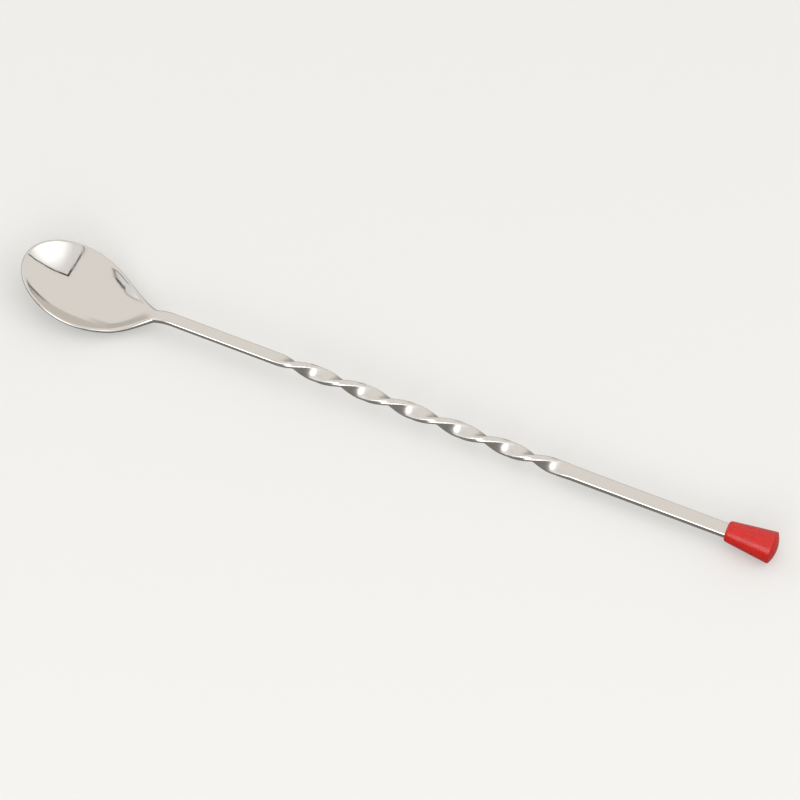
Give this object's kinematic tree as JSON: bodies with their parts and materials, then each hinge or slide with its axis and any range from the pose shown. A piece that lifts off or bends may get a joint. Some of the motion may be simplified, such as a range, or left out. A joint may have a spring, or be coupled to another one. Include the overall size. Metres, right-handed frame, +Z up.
{
  "type": "bar spoon",
  "caption": "Long cocktail spoon: a teaspoon bowl on a twisted steel bar, with a plastic knob pushed onto the end.",
  "frame": {"origin": "half way along the spoon, on the surface it lies on: z = 0 is touched by the bottom of the bowl and by the rim of the knob", "axes": "+X along the spoon from the bowl to the knob, +Y across it, +Z up, out of the hollow of the bowl"},
  "size_m": [0.28, 0.033, 0.0128],
  "materials": {
    "stainless_steel": "polished",
    "red_plastic": "satin"
  },
  "bodies": {
    "steel_spoon": {"spoon": "stainless_steel"},
    "end_knob": {"knob": "red_plastic"}
  },
  "joints": [
    {"name": "knob_pull", "type": "slide", "parent": "steel_spoon", "child": "end_knob", "axis": [1, 0, 0], "range_m": [0, 0.016]}
  ]
}
